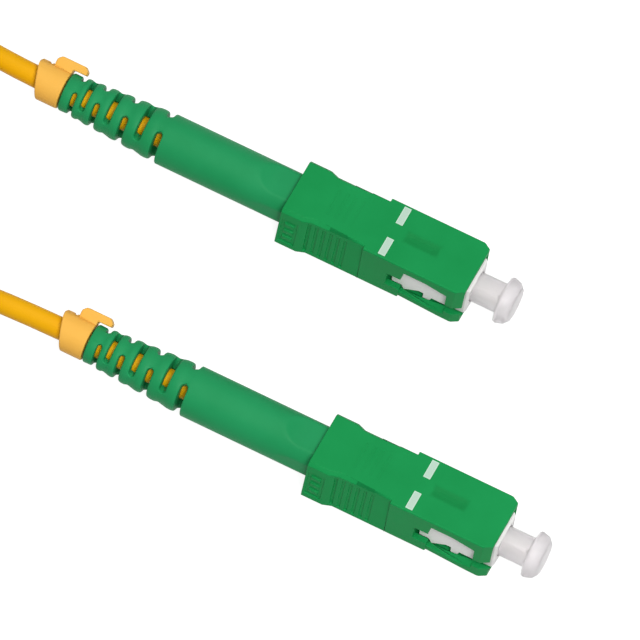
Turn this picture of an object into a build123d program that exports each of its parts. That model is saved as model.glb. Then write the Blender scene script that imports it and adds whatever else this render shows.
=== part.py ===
from build123d import *
import math
import os

# A one-metre fibre optic patch cord with the same push-pull plug on both ends.
# Millimetres. X points out of the plugs, Y to their left, Z up. Each plug is drawn about its
# own axis with x = 0 at the front face of its outer housing, and is then set in its place.

# Outer housing, the grip that slides on the plug frame
housing_length = 26.5
housing_width = 9.0
housing_height = 7.4
side_wall = 0.9
top_wall = 0.7
rear_block_length = 3.1
rear_block_flare = 0.45
waist_ramp = 1.2
waist_front = 14.6
waist_lean = 0.5
waist_bevels = (0.45, 0.32, 0.2)
cavity_corner = 0.4
edge_bevel = 0.15
nose_chamfer_length = 1.1
nose_chamfer_width = 0.7
groove_count = 6
groove_pitch = 1.04
groove_width = 0.42
groove_depth = 0.2
groove_drop = 0.9
groove_foot = 0.6
key_length = 10.5
key_width = 2.2
key_height = 0.95
key_setback = 1.5
mark_length = 2.85
mark_width = 1.0
mark_gap = 2.5
mark_setback = 12.1
mark_depth = 0.3
mark_proud = 0.03
label_length = 5.0
label_width = 1.6
label_depth = 0.06
label_setback = 8.1
rib_count = 4
rib_pitch = 1.15
rib_width = 0.35
rib_span = 4.2
rib_depth = 0.04
rib_setback = 17.4
panel_length = 2.3
panel_height = 4.8
panel_setback = 0.35
panel_drop = 0.4
panel_depth = 0.2
panel_bars = 3
grip_travel = 2.0

# Side window of the housing, with the slot that lets the latch hook in from the front
window_rear = 10.7
window_step = 8.75
window_taper = 5.4
window_front = 2.2
window_top_margin = 0.6
window_low_margin = 0.15
window_front_drop = 0.57
window_corner = 0.25
tail_slot_top = 0.6
tail_slot_low = -1.8
hook_slot_top = -0.35
hook_slot_low = -1.75
lip_ramp_rear = 7.8
lip_ramp_front = 3.3
lip_inset = 0.35

# Plug frame
frame_gap = 0.1
frame_length = 20.5
frame_setback = 0.5
nose_side_gap = 0.65
nose_top_gap = 0.4
nose_reach = 0.35
nose_lead_in = 0.3
nose_length = 2.1
nose_wall = 0.35
barrel_gap = 0.15
barrel_wall = 0.4
front_bore_depth = 2.55
seat_wall = 0.8

# Latch rail on each side of the frame, which shows in the window
rail_root = 0.55
rail_tail_gap = 0.5
rail_cover = 0.3
rail_tail_top = 1.0
rail_tail_low = -1.95
rail_ramp = 0.4
rail_top_gap = 0.15
rail_heel_low = -2.7
rail_waist_x = -6.3
rail_waist_low = -1.55
rail_bump_x = -5.6
rail_bump_length = 1.0
rail_bump_low = -2.55
rail_front_low = -1.85

# Ferrule, its holder and what rides with it
ferrule_diameter = 2.5
ferrule_length = 10.5
ferrule_reach = 4.4
ferrule_tip_chamfer = 0.5
ferrule_tip_angle = 8.0
ferrule_hole_gap = 0.2
ferrule_travel = 1.2
holder_gap = 0.15
holder_wall = 0.35
holder_thickness = 2.0
holder_tail_diameter = 2.3
holder_tail_length = 3.0
holder_slot_width = 0.8
holder_slot_depth = 0.4
buffer_diameter = 0.9
buffer_clearance = 0.1
guide_tube_diameter = 1.6
guide_tube_length = 13.5

# Spring and stop ring
spring_wire = 0.36
spring_side_gap = 0.2
spring_turns = 6
spring_room = 7.2
spring_end_gap = 0.04
stop_flange_gap = 0.2
stop_flange_thickness = 1.3
stop_barrel_gap = 1.05
stop_barrel_length = 5.5
stop_bore_gap = 0.15
stop_skirt_wall = 0.5
stop_web = 1.0
knurl_count = 5
knurl_depth = 0.15

# Crimp sleeve and strength yarn
yarn_thickness = 0.12
sleeve_wall = 0.35
sleeve_neck_length = 4.5
crimp_clearance = 0.03

# Boot
boot_diameter = 7.1
boot_smooth_length = 18.6
boot_tail_length = 14.8
boot_tail_diameter = 5.3
boot_clearance = 0.06
boot_front_gap = 1.4
boot_neck_length = 2.0
boot_rim_chamfer = 0.25
flat_gap = 0.25
flat_spare = 3.1
flat_ramp = 1.2
slot_rows = 7
slot_first = 1.68
slot_pitch_tail = 1.55
slot_pitch_front = 2.83
slot_width_tail = 0.7
slot_width_front = 1.0
slot_bridge_angle = 46.0

# Snap clip behind the boot
clip_gap = 0.2
clip_length = 4.6
clip_rear_slope = 16.0
clip_diameter = 5.3
clip_clearance = 0.05
clip_mouth = 2.3
clip_mouth_direction = -59.0
clip_rim_chamfer = 0.35
finger_direction = 31.0
finger_width = 2.0
finger_height = 1.1
finger_rear_setback = 2.05
finger_overlap = 1.7
finger_clearance = 0.25
finger_end_radius = 0.55
finger_notch = 0.5

# Dust cap
cap_bore_gap = 0.175
cap_clearance = 0.05
cap_floor_gap = 0.2
cap_tip_room = 0.3
cap_flange_lead = 0.5
cap_flange_diameter = 6.5
cap_flange_thickness = 2.2
cap_end_diameter = 4.6
cap_rim_round = 0.3

# Cord
cord_diameter = 3.0
jacket_gap = 1.9
buffer_reach_in = 2.0
buffer_hole_spare = 1.8
coil_turn_radius_out = 22.5
coil_turn_radius_in = 12.0
coil_layers = 2
coil_centre_x = -72.5
coil_edge_round = 1.2

# Where the two plugs lie
plug_pitch = 32.9
plug_stagger = 20.0

# How far a cutter runs past what it cuts
overlap = 0.5

# Worked out from the sizes above: the housing and the frame
axis_height = housing_height / 2 + key_height
cavity_width = housing_width - 2 * side_wall
cavity_height = housing_height - 2 * top_wall
window_top = cavity_height / 2 - window_top_margin
window_low = window_low_margin - cavity_height / 2
window_front_top = window_top - window_front_drop
rear_block_half = housing_width / 2 + rear_block_flare
nose_width = cavity_width - 2 * nose_side_gap
nose_height = cavity_height - 2 * nose_top_gap
front_bore = nose_height - 2 * nose_wall
barrel_diameter = cavity_height - 2 * barrel_gap
spring_bore = barrel_diameter - 2 * barrel_wall
rail_top = window_front_top - rail_top_gap
frame_rear_x = -frame_length
ferrule_hole = ferrule_diameter + 2 * ferrule_hole_gap
seat_x = nose_reach - front_bore_depth - seat_wall

# The ferrule's holder, the spring behind it and the stop ring
ferrule_rear_x = ferrule_reach - ferrule_length
holder_diameter = spring_bore - 2 * holder_gap
holder_rear_x = seat_x - holder_thickness
holder_tail_x = holder_rear_x - holder_tail_length
spring_diameter = spring_bore - 2 * spring_side_gap
spring_seat_x = holder_rear_x - spring_room
buffer_bore = buffer_diameter + 2 * buffer_clearance
stop_flange_diameter = cavity_height - 2 * stop_flange_gap
stop_barrel_diameter = cavity_height - 2 * stop_barrel_gap
stop_bore = guide_tube_diameter + 2 * stop_bore_gap
stop_barrel_x = frame_rear_x - stop_flange_thickness
stop_rear_x = stop_barrel_x - stop_barrel_length
sleeve_bore = stop_barrel_diameter + 2 * yarn_thickness + 4 * crimp_clearance

# The boot, the clip and the cap
boot_front_x = stop_barrel_x - boot_front_gap
boot_bore = sleeve_bore + 2 * sleeve_wall + 2 * boot_clearance
boot_smooth_end_x = -housing_length - boot_smooth_length
boot_tail_x = boot_smooth_end_x - boot_tail_length
flat_rear_x = -housing_length - grip_travel - flat_spare
clip_front_x = boot_tail_x - clip_gap
clip_rear_x = clip_front_x - clip_length
cap_tube_rear_x = nose_reach - front_bore_depth + ferrule_travel + cap_floor_gap
cap_tube_diameter = front_bore - 2 * cap_bore_gap
cap_flange_x = ferrule_reach - cap_flange_lead
cap_end_x = cap_flange_x + cap_flange_thickness

# The cord inside the plug, and the places of the two plugs
cord_radius = cord_diameter / 2
jacket_front_x = stop_rear_x - jacket_gap
buffer_hole_depth = buffer_reach_in + ferrule_travel + buffer_hole_spare
front_a_x = -(cap_end_x + plug_stagger + clip_rear_x) / 2
front_b_x = front_a_x + plug_stagger
plug_places = {
    "a": (front_a_x, plug_pitch / 2, axis_height),
    "b": (front_b_x, -plug_pitch / 2, axis_height),
}


def section_plane(x):
    """The plane across the plug at x, with Y and Z as its own axes."""
    return Plane(origin=(x, 0, 0), x_dir=(0, 1, 0), z_dir=(1, 0, 0))


def bar(x0, x1, width, height, bevel=0.0):
    """A bar along X with bevelled long edges."""
    outline = Rectangle(width, height)
    if bevel > 0:
        outline = chamfer(outline.vertices(), bevel)
    return extrude(section_plane(x0) * outline, amount=x1 - x0)


def rod(x0, x1, diameter):
    """A round rod along X."""
    return extrude(section_plane(x0) * Circle(diameter / 2), amount=x1 - x0)


def tube(x0, x1, outer, inner):
    """A round tube along X."""
    return rod(x0, x1, outer) - rod(x0 - overlap, x1 + overlap, inner)


def turned(profile):
    """A solid of revolution about X from (x, radius) points."""
    outline = Polyline(*[(x, r, 0) for x, r in profile], close=True)
    return revolve(make_face(outline), axis=Axis.X)


def side_plate(profile, y0, y1):
    """A plate across Y from (x, z) points."""
    outline = Polyline(*[(x, y0, z) for x, z in profile], close=True)
    return extrude(make_face(outline), amount=y1 - y0, dir=(0, 1, 0))


def block(x0, x1, y0, y1, z0, z1):
    """A block given by its lowest and highest corners."""
    size = (x1 - x0, y1 - y0, z1 - z0)
    return Pos((x0 + x1) / 2, (y0 + y1) / 2, (z0 + z1) / 2) * Box(*size)


def both_sides(tool):
    """A cutter or boss and its mirror image on the other side."""
    return tool + mirror(tool, about=Plane.XZ)


def housing_section(x, half, lean, bevel):
    """The grip's section at x: sides that lean in towards the top, with bevelled edges."""
    top = housing_height / 2
    corners = [(-half, -top), (half, -top), (half - lean, top), (lean - half, top)]
    outline = Polygon(*corners, align=None)
    outline = chamfer(outline.vertices().group_by(Axis.Y)[-1], bevel)
    outline = chamfer(outline.vertices().group_by(Axis.Y)[0], edge_bevel)
    return section_plane(x) * outline


def housing_stretch(x0, rear, x1, front):
    """A stretch of the grip between two sections, each a half width, a lean and a bevel."""
    return loft([housing_section(x0, *rear), housing_section(x1, *front)], ruled=True)


def housing_blank():
    """The outside of the grip: wide rear block, ramp, stepped waist, and front with cut corners."""
    half = housing_width / 2
    ramp_rear = -housing_length + rear_block_length
    ramp_front = ramp_rear + waist_ramp
    block_form = (rear_block_half, waist_lean, waist_bevels[0])
    solid = housing_stretch(-housing_length, block_form, ramp_rear, block_form)
    solid += housing_stretch(ramp_rear, block_form, ramp_front, (half, waist_lean, waist_bevels[0]))
    step = -(ramp_front + waist_front) / len(waist_bevels)
    for index, bevel in enumerate(waist_bevels):
        x = ramp_front + index * step
        form = (half, waist_lean, bevel)
        solid += housing_stretch(x, form, x + step, form)
    front_form = (half, 0, edge_bevel)
    front = housing_stretch(-waist_front, front_form, 0, front_form)
    corner = Polyline(
        (-nose_chamfer_length, -half),
        (overlap, -half + nose_chamfer_width * (1 + overlap / nose_chamfer_length)),
        (overlap, -half - overlap),
        (-nose_chamfer_length, -half - overlap),
        close=True,
    )
    cut = extrude(Pos(0, 0, -housing_height) * make_face(corner), amount=2 * housing_height)
    return solid + (front - both_sides(cut))


def leaned(tool, half):
    """A cutter for the near side turned about that side's bottom edge, to lie along its lean."""
    bottom = housing_height / 2
    angle = math.degrees(math.atan(waist_lean / housing_height))
    return Pos(0, -half, -bottom) * Rot(-angle, 0, 0) * Pos(0, half, bottom) * tool


def window_tool():
    """The cut for the side window and its hook slot, on the near side."""
    half = housing_width / 2
    inner = cavity_width / 2
    profile = [
        (-window_rear, tail_slot_top),
        (-window_step, tail_slot_top),
        (-window_step + window_corner, window_top),
        (-window_taper, window_top),
        (-window_front, window_front_top),
        (-window_front, hook_slot_top),
        (overlap, hook_slot_top),
        (overlap, hook_slot_low),
        (-window_front, hook_slot_low),
        (-window_front, window_low),
        (-window_step, window_low),
        (-window_step, tail_slot_low),
        (-window_rear, tail_slot_low),
    ]
    tool = side_plate(profile, -half - overlap, -inner + overlap)
    return tool - lip_ramp()


def lip_ramp():
    """The slanting floor of the window, which climbs to the hook slot and falls away outwards."""
    half = housing_width / 2
    inner = cavity_width / 2
    rear = Vector(-lip_ramp_rear, -inner, window_low)
    outer = Vector(-lip_ramp_front, -half, window_low)
    crest = Vector(-window_front, -inner, hook_slot_low)
    along = (outer - rear).normalized()
    upward = along.cross(crest - rear).normalized()
    size = housing_length
    slab = Plane(origin=rear, x_dir=along, z_dir=upward) * Pos(0, 0, -size / 2) * Box(size, size, size)
    return slab & block(-window_step, -window_front, -housing_width, 0, -housing_height, hook_slot_low)


def lip_tool():
    """The slanting inset of the wall under the window, on the near side."""
    half = housing_width / 2
    wedge = Polyline(
        (-window_step, -half + lip_inset),
        (-nose_chamfer_length, -half),
        (-nose_chamfer_length, -half - overlap),
        (-window_step, -half - overlap),
        close=True,
    )
    low = -housing_height / 2 - overlap
    return extrude(Pos(0, 0, low) * make_face(wedge), amount=hook_slot_low - low)


def groove_tools():
    """The finger grooves down the side of the waist, on the near side."""
    half = housing_width / 2
    first = -housing_length + rear_block_length + waist_ramp - groove_width
    top = housing_height / 2 - groove_drop
    foot = groove_foot - housing_height / 2
    tools = []
    for index in range(groove_count):
        x = first + index * groove_pitch
        groove = block(x, x + groove_width, -housing_width, -half + groove_depth, foot, top)
        tools.append(leaned(groove, half))
    return tools


def panel_tool():
    """The shallow panel on the side of the rear block, with plain bars left standing in it."""
    half = rear_block_half
    x0 = -housing_length + panel_setback
    z0 = -panel_drop - panel_height / 2
    tool = block(x0, x0 + panel_length, -half - overlap, -half + panel_depth, z0, z0 + panel_height)
    pitch = panel_height / (panel_bars + 0.5)
    inset = panel_length / 5
    for index in range(panel_bars):
        z = z0 + pitch * (index + 0.5)
        tool -= block(x0 + inset, x0 + panel_length - inset, -half, half, z, z + pitch / 2)
    return leaned(tool, half)


def mark_blocks(z0, z1):
    """Both index marks across the top, between two heights."""
    near = mark_gap / 2
    x0 = -mark_setback - mark_width / 2
    left = block(x0, x0 + mark_width, near, near + mark_length, z0, z1)
    return left, mirror(left, about=Plane.XZ)


def make_outer_housing():
    top = housing_height / 2
    housing = housing_blank()
    key_rear = -key_setback - key_length
    key = side_plate(
        [
            (key_rear, -top + edge_bevel),
            (key_rear, -top - key_height),
            (-key_setback - key_height / 2, -top - key_height),
            (-key_setback, -top - key_height / 2),
            (-key_setback, -top + edge_bevel),
        ],
        -key_width / 2,
        key_width / 2,
    )
    housing += key
    housing -= bar(-housing_length - overlap, overlap, cavity_width, cavity_height, cavity_corner)
    housing -= both_sides(window_tool())
    housing -= both_sides(lip_tool())
    for groove in groove_tools():
        housing -= both_sides(groove)
    housing -= both_sides(panel_tool())
    for recess in mark_blocks(top - mark_depth, top + overlap):
        housing -= recess
    label = SlotOverall(label_length, label_width)
    housing -= extrude(Pos(-label_setback, 0, top - label_depth) * label, amount=overlap)
    for index in range(rib_count):
        x = -rib_setback - index * rib_pitch
        housing -= block(x - rib_width, x, -rib_span / 2, rib_span / 2, top - rib_depth, top + overlap)
    return housing


def make_index_marks():
    top = housing_height / 2
    return list(mark_blocks(top - mark_depth, top + mark_proud))


def latch_rail():
    """The raised rail on the frame's side, with the notch that the latch hook grips."""
    step_x = -window_step
    tail_x = -window_rear + rail_tail_gap
    front_x = -window_front + rail_cover
    bump_front = rail_bump_x + rail_bump_length
    bump_foot = bump_front + (rail_front_low - rail_bump_low) / 3
    profile = [
        (tail_x, rail_tail_low),
        (step_x, rail_tail_low),
        (step_x + rail_ramp, rail_heel_low),
        (rail_waist_x, rail_waist_low),
        (rail_bump_x, rail_waist_low),
        (rail_bump_x, rail_bump_low),
        (bump_front, rail_bump_low),
        (bump_foot, rail_front_low),
        (front_x, rail_front_low),
        (front_x, rail_top),
        (step_x + rail_ramp, rail_top),
        (step_x, rail_tail_top),
        (tail_x, rail_tail_top),
    ]
    return side_plate(profile, -cavity_width / 2 + frame_gap, -barrel_diameter / 2 + rail_root)


def make_plug_frame():
    body_width = cavity_width - 2 * frame_gap
    body_height = cavity_height - 2 * frame_gap
    body_front = -window_rear - frame_setback
    frame = bar(frame_rear_x, body_front, body_width, body_height, cavity_corner)
    frame += rod(body_front, -nose_length, barrel_diameter)
    nose = bar(-nose_length, nose_reach, nose_width, nose_height)
    front_edges = nose.faces().sort_by(Axis.X)[-1].edges()
    frame += chamfer(front_edges, nose_lead_in)
    frame += both_sides(latch_rail())
    frame -= rod(nose_reach - front_bore_depth, nose_reach + overlap, front_bore)
    frame -= rod(seat_x - overlap, nose_reach, ferrule_hole)
    frame -= rod(frame_rear_x - overlap, seat_x, spring_bore)
    return frame


def make_ferrule():
    radius = ferrule_diameter / 2
    ferrule = turned(
        [
            (ferrule_rear_x, 0),
            (ferrule_rear_x, radius),
            (ferrule_reach - ferrule_tip_chamfer, radius),
            (ferrule_reach, radius - ferrule_tip_chamfer),
            (ferrule_reach, 0),
        ]
    )
    tip = Pos(ferrule_reach, 0, -radius) * Rot(0, -ferrule_tip_angle, 0)
    slant = tip * block(0, radius, -radius, radius, -radius, 4 * radius)
    return ferrule - slant


def make_ferrule_holder():
    """The flanged collar that the ferrule is pressed into."""
    bore = ferrule_diameter / 2
    tail = holder_tail_diameter / 2
    holder = turned(
        [
            (seat_x, bore),
            (seat_x, holder_diameter / 2),
            (holder_rear_x, holder_diameter / 2),
            (holder_rear_x, bore + holder_wall),
            (ferrule_rear_x, bore + holder_wall),
            (ferrule_rear_x - holder_wall, tail),
            (holder_tail_x, tail),
            (holder_tail_x, buffer_bore / 2),
            (ferrule_rear_x, buffer_bore / 2),
            (ferrule_rear_x, bore),
        ]
    )
    reach = holder_diameter / 2
    low = reach - holder_slot_depth
    half = holder_slot_width / 2
    notch = block(holder_rear_x - overlap, seat_x + overlap, -half, half, low, reach + overlap)
    for turn in (0, 90, 180, 270):
        holder -= Rot(turn, 0, 0) * notch
    return holder


def make_guide_tube():
    """The soft tube behind the holder that keeps the fibre straight in the spring."""
    return tube(holder_tail_x - guide_tube_length, holder_tail_x, guide_tube_diameter, buffer_bore)


def make_fibre_buffer():
    return rod(jacket_front_x - buffer_reach_in, ferrule_rear_x, buffer_diameter)


def make_ferrule_spring():
    front = holder_rear_x - spring_end_gap
    rear = spring_seat_x + spring_end_gap
    height = front - rear - spring_wire
    mean = (spring_diameter - spring_wire) / 2
    path = Helix(pitch=height / spring_turns, height=height, radius=mean)
    wire = Plane(origin=path @ 0, z_dir=path % 0) * Circle(spring_wire / 2)
    coil = sweep(wire, path=path)
    return Pos(rear + spring_wire / 2, 0, 0) * Rot(0, 90, 0) * coil


def make_stop_ring():
    """The collar that closes the frame: a skirt for the spring to push on, and a ribbed barrel."""
    barrel = stop_barrel_diameter / 2
    fit = spring_bore / 2 - crimp_clearance
    hollow = fit - stop_skirt_wall
    ring = turned(
        [
            (spring_seat_x, hollow),
            (spring_seat_x, fit),
            (frame_rear_x, fit),
            (frame_rear_x, stop_flange_diameter / 2),
            (stop_barrel_x, stop_flange_diameter / 2),
            (stop_barrel_x, barrel),
            (stop_rear_x, barrel),
            (stop_rear_x, stop_bore / 2),
            (frame_rear_x + stop_web, stop_bore / 2),
            (frame_rear_x + stop_web, hollow),
        ]
    )
    pitch = stop_barrel_length / (knurl_count + 1)
    floor = stop_barrel_diameter - 2 * knurl_depth
    for index in range(knurl_count):
        x = stop_barrel_x - (index + 1) * pitch
        ring -= tube(x, x + pitch / 2, stop_flange_diameter, floor)
    return ring


def make_strength_yarn():
    """The yarn folded back over the barrel and gripped by the sleeve."""
    inner = stop_barrel_diameter + 2 * crimp_clearance
    outer = inner + 2 * yarn_thickness
    return tube(stop_rear_x - sleeve_wall, stop_barrel_x - crimp_clearance, outer, inner)


def make_crimp_sleeve():
    """The metal sleeve: wide over the barrel, necked down on the jacket."""
    wide = sleeve_bore / 2
    neck = cord_radius + crimp_clearance
    front = stop_barrel_x - 2 * crimp_clearance
    shoulder = stop_rear_x - 2 * sleeve_wall
    rear = shoulder - sleeve_wall - sleeve_neck_length
    return turned(
        [
            (front, wide),
            (front, wide + sleeve_wall),
            (shoulder, wide + sleeve_wall),
            (shoulder - sleeve_wall, neck + sleeve_wall),
            (rear, neck + sleeve_wall),
            (rear, neck),
            (shoulder - sleeve_wall, neck),
            (shoulder, wide),
        ]
    )


def slot_places():
    """Middle and width of each row of slots, from the tail forward."""
    places = []
    x = boot_tail_x + slot_first
    for row in range(slot_rows):
        share = row / (slot_rows - 1)
        width = slot_width_tail + share * (slot_width_front - slot_width_tail)
        places.append((x, width))
        x += slot_pitch_tail + share * (slot_pitch_front - slot_pitch_tail)
    return places


def slot_tool(x, width, turn):
    """Two opposite slots round the boot at x, with a solid bridge left on each side."""
    reach = boot_diameter
    ring = tube(x - width / 2, x + width / 2, 2 * reach, cord_diameter)
    slope = math.tan(math.radians(slot_bridge_angle / 2))
    fan = Polyline((0, 0), (2 * reach, 2 * reach * slope), (2 * reach, -2 * reach * slope), close=True)
    wedge = extrude(section_plane(x - width) * make_face(fan), amount=2 * width)
    bridges = wedge + Rot(180, 0, 0) * wedge
    return Rot(turn, 0, 0) * (ring - bridges)


def flat_tool(half, turn):
    """The cut for one flat of the boot, which runs out in a ramp at its rear."""
    reach = boot_diameter
    profile = [
        (boot_front_x + overlap, half),
        (flat_rear_x + flat_ramp, half),
        (flat_rear_x, boot_diameter / 2),
        (flat_rear_x, reach),
        (boot_front_x + overlap, reach),
    ]
    return Rot(turn, 0, 0) * side_plate(profile, -reach, reach)


def make_boot():
    tail_bore = cord_radius + boot_clearance
    neck_front = boot_smooth_end_x + boot_neck_length
    boot = turned(
        [
            (boot_front_x, boot_bore / 2),
            (boot_front_x, boot_diameter / 2),
            (boot_smooth_end_x, boot_diameter / 2),
            (boot_tail_x + boot_rim_chamfer, boot_tail_diameter / 2),
            (boot_tail_x, boot_tail_diameter / 2 - boot_rim_chamfer),
            (boot_tail_x, tail_bore),
            (boot_smooth_end_x, tail_bore),
            (neck_front, boot_bore / 2),
        ]
    )
    for turn in (0, 180):
        boot -= flat_tool(cavity_height / 2 - flat_gap, turn)
        boot -= flat_tool(cavity_width / 2 - flat_gap, turn + 90)
    for row, (x, width) in enumerate(slot_places()):
        turn = 0 if row % 2 else 90
        boot -= slot_tool(x, width, turn)
    return boot


def make_dust_cap():
    bore = ferrule_diameter / 2 + cap_clearance
    tube_radius = cap_tube_diameter / 2
    rim = cap_flange_diameter / 2
    bore_end = ferrule_reach + cap_tip_room
    return turned(
        [
            (cap_tube_rear_x, bore),
            (cap_tube_rear_x, tube_radius),
            (cap_flange_x, tube_radius),
            (cap_flange_x + cap_rim_round, rim - cap_rim_round / 3),
            (cap_flange_x + 2 * cap_rim_round, rim),
            (cap_end_x - 2 * cap_rim_round, rim - cap_rim_round),
            (cap_end_x, cap_end_diameter / 2),
            (cap_end_x, 0),
            (bore_end, 0),
            (bore_end, bore),
        ]
    )


def make_tail_clip():
    """The snap clip: an open ring on the cord with a finger that reaches over the boot."""
    outer = clip_diameter / 2
    inner = cord_radius + clip_clearance
    ring = turned(
        [
            (clip_rear_x, inner),
            (clip_rear_x, outer - clip_rim_chamfer),
            (clip_rear_x + clip_rim_chamfer, outer),
            (clip_front_x, outer),
            (clip_front_x, inner),
        ]
    )
    reach = 2 * clip_diameter
    slab = Pos(-clip_length / 2, -clip_diameter, 0) * Box(clip_length, 2 * reach, reach)
    rear_cut = Pos(clip_rear_x, outer, 0) * Rot(0, 0, clip_rear_slope) * slab
    ring -= Rot(finger_direction, 0, 0) * rear_cut
    half = clip_mouth / 2
    mouth = block(clip_rear_x - overlap, clip_front_x + overlap, 0, clip_diameter, -half, half)
    ring -= Rot(clip_mouth_direction, 0, 0) * mouth
    low = boot_tail_diameter / 2 + finger_clearance
    high = low + finger_height
    foot = inner + clip_rim_chamfer
    rear = clip_rear_x + finger_rear_setback
    front = boot_tail_x + finger_overlap
    profile = [
        (rear, foot),
        (rear, high - finger_end_radius),
        (rear + finger_end_radius, high),
        (front - finger_end_radius, high),
        (front, high - finger_end_radius),
        (front, low),
        (clip_front_x, low),
        (clip_front_x, foot),
    ]
    outline = Polyline(*[(x, y, -finger_width / 2) for x, y in profile], close=True)
    finger = extrude(make_face(outline), amount=finger_width, dir=(0, 0, 1))
    notch_x = rear - finger_notch / 2
    notch = block(notch_x - finger_notch, notch_x, outer - finger_notch / 3, 2 * outer, -outer, outer)
    clip = ring - Rot(finger_direction, 0, 0) * notch
    return clip + Rot(finger_direction, 0, 0) * finger


def make_jacket_end():
    """The stretch of cord inside the plug, from the crimp to the end of the boot."""
    jacket = rod(boot_tail_x, jacket_front_x, cord_diameter)
    return jacket - rod(jacket_front_x - buffer_hole_depth, jacket_front_x + overlap, buffer_bore)


def cord_tube(name, points):
    """A tube of straight runs and tangent arcs along hand-picked points."""
    corners = [Vector(*point) for point in points]
    radii = []
    for before, corner, after in zip(corners, corners[1:], corners[2:]):
        turn = math.radians((corner - before).get_angle(after - corner))
        shorter = min((corner - before).length, (after - corner).length)
        radii.append(0.45 * shorter / math.tan(turn / 2))
    path = FilletPolyline(*corners, radius=radii)
    print(name, "radii", [round(radius, 1) for radius in radii], "length", round(path.length, 1))
    start = Plane(origin=path @ 0, z_dir=path % 0)
    solid = sweep(start * Circle(cord_radius), path=path)
    share = solid.volume / (math.pi * cord_radius**2 * path.length)
    print(name, "volume against section times length", round(share, 4))
    return solid


def cord_routes():
    """The free cord beside each plug, from the boot to the coil."""
    exit_a = plug_places["a"][0] + boot_tail_x
    exit_b = plug_places["b"][0] + boot_tail_x
    side = plug_pitch / 2
    coil_side = coil_turn_radius_out
    top_layer = cord_radius + (coil_layers - 1) * cord_diameter
    route_a = [
        (exit_a, side, axis_height),
        (exit_a - 11.5, side, axis_height),
        (exit_a - 21.5, side + 3.6, 2.4),
        (coil_centre_x, coil_side, cord_radius),
    ]
    route_b = [
        (exit_b, -side, axis_height),
        (exit_b - 14.0, -side, axis_height),
        (exit_b - 27.0, -side - 0.8, 2.3),
        (exit_b - 40.0, -side - 3.9, 2.2),
        (coil_centre_x, -coil_side, top_layer),
    ]
    return {"a": route_a, "b": route_b}


def make_cord_coil():
    """The outer shape of the coil that the rest of the cord is wound into."""
    height = coil_layers * cord_diameter
    outer = Cylinder(coil_turn_radius_out + cord_radius, height)
    ring = outer - Cylinder(coil_turn_radius_in - cord_radius, 2 * height)
    rims = ring.edges().filter_by(GeomType.CIRCLE)
    ring = chamfer(rims, coil_edge_round)
    return Pos(coil_centre_x, 0, height / 2) * ring


makers = {
    "outer_housing": make_outer_housing,
    "index_marks": make_index_marks,
    "plug_frame": make_plug_frame,
    "ferrule": make_ferrule,
    "ferrule_holder": make_ferrule_holder,
    "guide_tube": make_guide_tube,
    "fibre_buffer": make_fibre_buffer,
    "ferrule_spring": make_ferrule_spring,
    "stop_ring": make_stop_ring,
    "strength_yarn": make_strength_yarn,
    "crimp_sleeve": make_crimp_sleeve,
    "boot": make_boot,
    "tail_clip": make_tail_clip,
    "dust_cap": make_dust_cap,
    "jacket_end": make_jacket_end,
}

os.makedirs("parts", exist_ok=True)
for piece, maker in makers.items():
    made = maker()
    solids = made if isinstance(made, list) else [made]
    for end, place in plug_places.items():
        placed = [Pos(*place) * solid for solid in solids]
        shape = placed[0] if len(placed) == 1 else Compound(children=placed)
        export_step(shape, f"parts/{piece}_{end}.step")
for end, route in cord_routes().items():
    export_step(cord_tube(f"cord_tube_{end}", route), f"parts/cord_tube_{end}.step")
export_step(make_cord_coil(), "parts/cord_coil.step")
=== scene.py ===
# %% [markdown]
# # A fibre patch cord, dressed around its frame
#
# The real thing is a metre of thin yellow cable with a green push-pull plug on each end. The solid
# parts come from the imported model, in metres, and keep their places. This lesson gives them their
# surfaces, lays the loose cord, and lights the set like a catalogue picture.
#
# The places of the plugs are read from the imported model. Only the cord's route and the boot's pattern
# of slots have numbers of their own, because a solid's box doesn't tell them.

# %% Load the frame
import bmesh
import bpy
import math
from mathutils import Matrix, Vector


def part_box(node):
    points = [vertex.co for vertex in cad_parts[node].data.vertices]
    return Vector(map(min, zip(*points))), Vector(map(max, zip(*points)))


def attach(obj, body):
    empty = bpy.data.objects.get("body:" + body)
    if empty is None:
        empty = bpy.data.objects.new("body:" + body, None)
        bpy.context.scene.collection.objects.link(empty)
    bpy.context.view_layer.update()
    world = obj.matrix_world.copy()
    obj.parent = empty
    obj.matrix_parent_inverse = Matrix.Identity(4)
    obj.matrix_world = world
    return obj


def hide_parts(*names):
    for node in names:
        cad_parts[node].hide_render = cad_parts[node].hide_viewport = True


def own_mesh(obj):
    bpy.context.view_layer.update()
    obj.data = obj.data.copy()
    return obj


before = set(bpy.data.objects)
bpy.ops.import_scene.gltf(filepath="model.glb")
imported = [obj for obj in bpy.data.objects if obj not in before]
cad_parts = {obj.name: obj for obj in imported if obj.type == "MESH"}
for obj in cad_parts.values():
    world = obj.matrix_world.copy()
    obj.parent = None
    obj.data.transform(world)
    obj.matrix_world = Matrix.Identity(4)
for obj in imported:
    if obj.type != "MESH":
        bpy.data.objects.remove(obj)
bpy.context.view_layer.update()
plug_ends = ("a", "b")
mm = 0.001

# %% [markdown]
# ## The camera
#
# The photograph looks down on the plugs at 58 degrees, from a little to their right, and the picture
# is turned by 12 degrees, so the plugs run downhill to the right. The two plugs look equally large,
# which only a long lens far away can do. A parallel camera would do it too, but a long lens also
# keeps the other views framed, because they work out their distance from the lens.

# %% Camera
camera_azimuth = math.radians(16.0)
camera_elevation = math.radians(58.2)
camera_roll = math.radians(11.8)
camera_distance = 2.4
pixels_per_metre = 7660.0
picture_pixels = 640
looked_at = Vector((3.65, 2.7, 2.8)) * mm


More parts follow.
